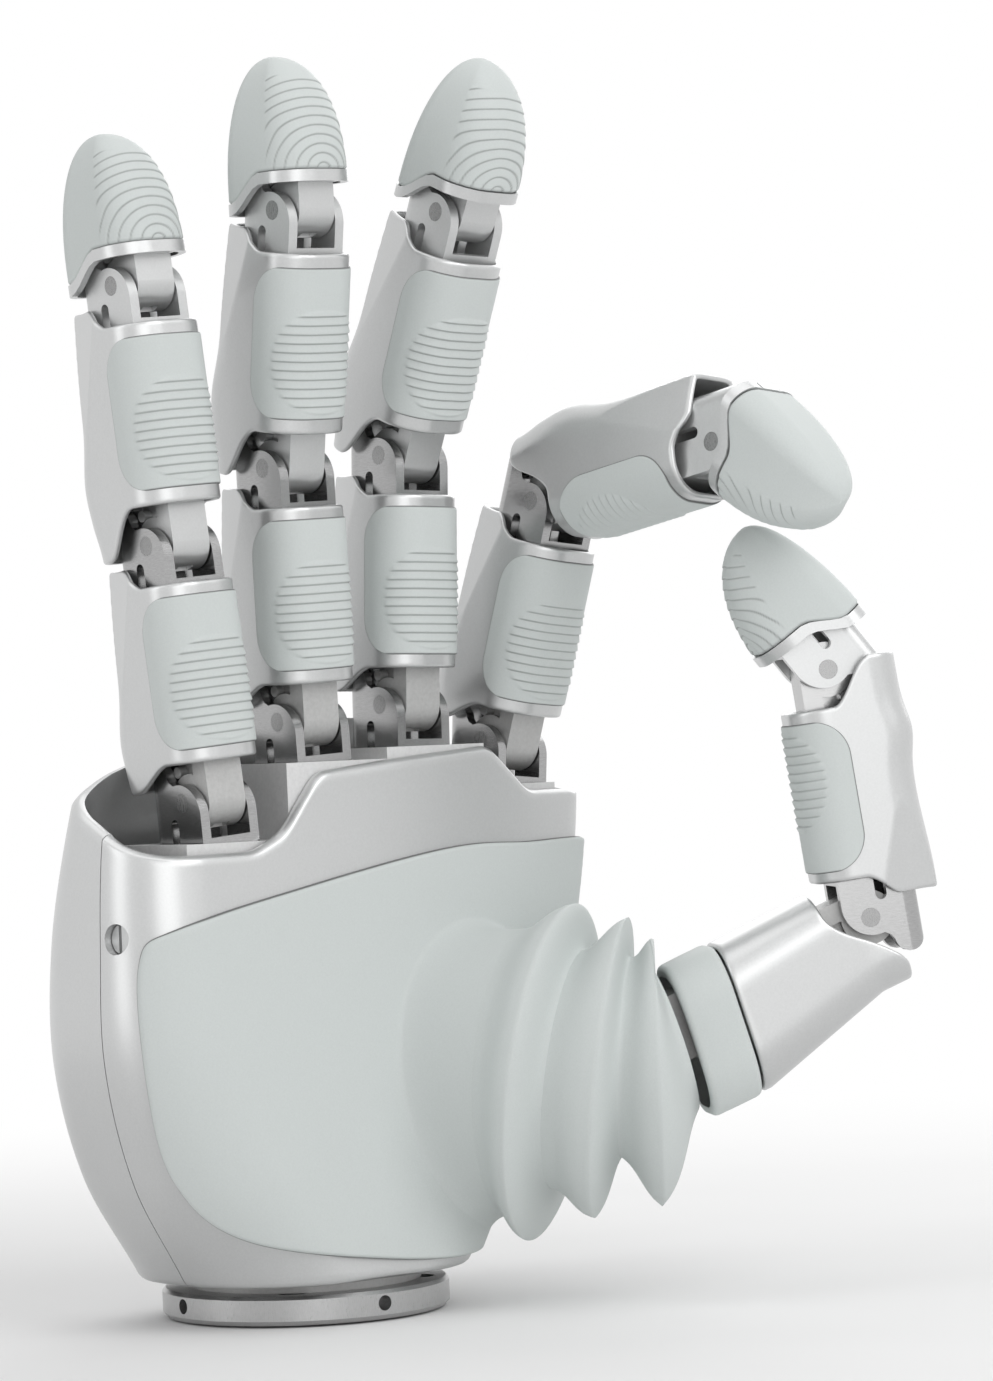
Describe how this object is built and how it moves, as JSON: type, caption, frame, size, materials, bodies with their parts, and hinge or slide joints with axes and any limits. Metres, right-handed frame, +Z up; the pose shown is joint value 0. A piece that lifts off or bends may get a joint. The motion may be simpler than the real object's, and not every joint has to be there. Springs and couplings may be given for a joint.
{
  "type": "robotic hand",
  "caption": "Right robotic hand: jointed fingers with soft grip pads, a thumb under a rubber bellows, two-piece palm shell, round wrist flange.",
  "frame": {"origin": "centre of the wrist flange's lower face", "axes": "+Z up the hand from the wrist to the fingertips, -Y out of the palm, +X towards the thumb's side"},
  "size_m": [0.1304, 0.1089, 0.2171],
  "materials": {
    "shell_silver": "satin silver",
    "elastomer": "matte pale grey-green",
    "bracket_steel": "polished edges",
    "cast_metal": "fine matte",
    "deck_white": "matte white",
    "pin_steel": "ground",
    "flange_metal": "turned, satin"
  },
  "bodies": {
    "palm": {"wrist_flange": "flange_metal", "palm_chassis": "cast_metal", "knuckle_deck": "deck_white", "little_deck": "deck_white", "palm_front_shell": "shell_silver", "palm_back_shell": "shell_silver", "palm_skin": "elastomer", "shell_screws": "pin_steel", "joint_pins": "pin_steel", "bellows_inner": "elastomer"},
    "little_knuckle": {"little_knuckle": "bracket_steel"},
    "little_proximal": {"little_tongue": "cast_metal", "little_shell_a": "shell_silver", "little_pad_a": "elastomer", "little_bracket": "bracket_steel"},
    "little_middle": {"little_link_b": "shell_silver", "little_shell_b": "shell_silver", "little_pad_b": "elastomer"},
    "little_distal": {"little_tip_frame": "shell_silver", "little_tip_skin": "elastomer"},
    "ring_knuckle": {"ring_knuckle": "bracket_steel"},
    "ring_proximal": {"ring_tongue": "cast_metal", "ring_shell_a": "shell_silver", "ring_pad_a": "elastomer", "ring_bracket": "bracket_steel"},
    "ring_middle": {"ring_link_b": "shell_silver", "ring_shell_b": "shell_silver", "ring_pad_b": "elastomer"},
    "ring_distal": {"ring_tip_frame": "shell_silver", "ring_tip_skin": "elastomer"},
    "middle_knuckle": {"middle_knuckle": "bracket_steel"},
    "middle_proximal": {"middle_tongue": "cast_metal", "middle_shell_a": "shell_silver", "middle_pad_a": "elastomer", "middle_bracket": "bracket_steel"},
    "middle_middle": {"middle_link_b": "shell_silver", "middle_shell_b": "shell_silver", "middle_pad_b": "elastomer"},
    "middle_distal": {"middle_tip_frame": "shell_silver", "middle_tip_skin": "elastomer"},
    "index_knuckle": {"index_knuckle": "bracket_steel"},
    "index_proximal": {"index_tongue": "cast_metal", "index_shell_a": "shell_silver", "index_pad_a": "elastomer", "index_bracket": "bracket_steel"},
    "index_middle": {"index_link_b": "shell_silver", "index_shell_b": "shell_silver", "index_pad_b": "elastomer"},
    "index_distal": {"index_tip_frame": "shell_silver", "index_tip_skin": "elastomer"},
    "thumb_base": {"thumb_base": "bracket_steel", "bellows_outer": "elastomer"},
    "thumb_metacarpal": {"thumb_link": "cast_metal", "thumb_meta_shell": "shell_silver", "thumb_cuff": "elastomer"},
    "thumb_proximal": {"thumb_bracket": "bracket_steel", "thumb_shell": "shell_silver", "thumb_pad": "elastomer"},
    "thumb_distal": {"thumb_tip_frame": "shell_silver", "thumb_tip_skin": "elastomer"}
  },
  "joints": [
    {"name": "little_spread", "type": "hinge", "parent": "palm", "child": "little_knuckle", "pos_m": [-0.02098, -0.00699, 0.07654], "axis": [-0.0105, 0.9999, 0], "range_deg": [-8, 3]},
    {"name": "little_mcp", "type": "hinge", "parent": "little_knuckle", "child": "little_proximal", "pos_m": [-0.022, -0.007, 0.0895], "axis": [0.9969, 0.0104, 0.0785], "range_deg": [-3, 80]},
    {"name": "little_pip", "type": "hinge", "parent": "little_proximal", "child": "little_middle", "pos_m": [-0.02547, -0.00443, 0.13329], "axis": [0.9969, 0.0104, 0.0785], "range_deg": [-3, 78]},
    {"name": "little_dip", "type": "hinge", "parent": "little_middle", "child": "little_distal", "pos_m": [-0.02898, -0.00213, 0.17759], "axis": [0.9969, 0.0104, 0.0785], "range_deg": [-5, 68]},
    {"name": "ring_spread", "type": "hinge", "parent": "palm", "child": "ring_knuckle", "pos_m": [0.00214, -0.00399, 0.08952], "axis": [-0.0157, 0.9999, 0], "range_deg": [-4, 4]},
    {"name": "ring_mcp", "type": "hinge", "parent": "ring_knuckle", "child": "ring_proximal", "pos_m": [0.0015, -0.004, 0.1025], "axis": [0.9987, 0.0157, 0.0488], "range_deg": [-3, 78]},
    {"name": "ring_pip", "type": "hinge", "parent": "ring_proximal", "child": "ring_middle", "pos_m": [-0.00063, -0.00542, 0.14643], "axis": [0.9987, 0.0157, 0.0488], "range_deg": [-9, 70]},
    {"name": "ring_dip", "type": "hinge", "parent": "ring_middle", "child": "ring_distal", "pos_m": [-0.00263, -0.01363, 0.19011], "axis": [0.9987, 0.0157, 0.0488], "range_deg": [-2, 76]},
    {"name": "middle_spread", "type": "hinge", "parent": "palm", "child": "middle_knuckle", "pos_m": [0.02423, -0.00401, 0.0915], "axis": [-0.0262, 0.9997, 0], "range_deg": [-4, 4]},
    {"name": "middle_mcp", "type": "hinge", "parent": "middle_knuckle", "child": "middle_proximal", "pos_m": [0.0245, -0.004, 0.1045], "axis": [0.9994, 0.0262, -0.0209], "range_deg": [-3, 78]},
    {"name": "middle_pip", "type": "hinge", "parent": "middle_proximal", "child": "middle_middle", "pos_m": [0.02546, -0.00536, 0.14847], "axis": [0.9994, 0.0262, -0.0209], "range_deg": [-21, 60]},
    {"name": "middle_dip", "type": "hinge", "parent": "middle_middle", "child": "middle_distal", "pos_m": [0.02676, -0.02207, 0.18969], "axis": [0.9994, 0.0262, -0.0209], "range_deg": [-6, 66]},
    {"name": "index_spread", "type": "hinge", "parent": "palm", "child": "index_knuckle", "pos_m": [0.04535, -0.00507, 0.08405], "axis": [-0.061, 0.9981, 0], "range_deg": [-5, 8]},
    {"name": "index_mcp", "type": "hinge", "parent": "index_knuckle", "child": "index_proximal", "pos_m": [0.0465, -0.005, 0.097], "axis": [0.9942, 0.0608, -0.0889], "range_deg": [-18, 5]},
    {"name": "index_pip", "type": "hinge", "parent": "index_proximal", "child": "index_middle", "pos_m": [0.05097, -0.01614, 0.13933], "axis": [0.9942, 0.0608, -0.0889], "range_deg": [-66, 6]},
    {"name": "index_dip", "type": "hinge", "parent": "index_middle", "child": "index_distal", "pos_m": [0.0543, -0.05989, 0.14672], "axis": [0.9942, 0.0608, -0.0889], "range_deg": [-48, 20]},
    {"name": "thumb_rotate", "type": "hinge", "parent": "palm", "child": "thumb_base", "pos_m": [0.0296, -0.03164, 0.0422], "axis": [0, 0, 1], "range_deg": [-12, 30], "deforming": ["bellows_inner"]},
    {"name": "thumb_flex", "type": "hinge", "parent": "thumb_base", "child": "thumb_metacarpal", "pos_m": [0.03687, -0.04242, 0.0422], "axis": [0.5446, 0.8387, 0], "range_deg": [-6, 20], "deforming": ["bellows_outer"]},
    {"name": "thumb_mcp", "type": "hinge", "parent": "thumb_metacarpal", "child": "thumb_proximal", "pos_m": [0.0741, -0.0666, 0.0643], "axis": [0.5446, 0.8387, 0], "range_deg": [-4, 69]},
    {"name": "thumb_ip", "type": "hinge", "parent": "thumb_proximal", "child": "thumb_distal", "pos_m": [0.06934, -0.06351, 0.10743], "axis": [0.5446, 0.8387, 0], "range_deg": [-18, 32]}
  ]
}
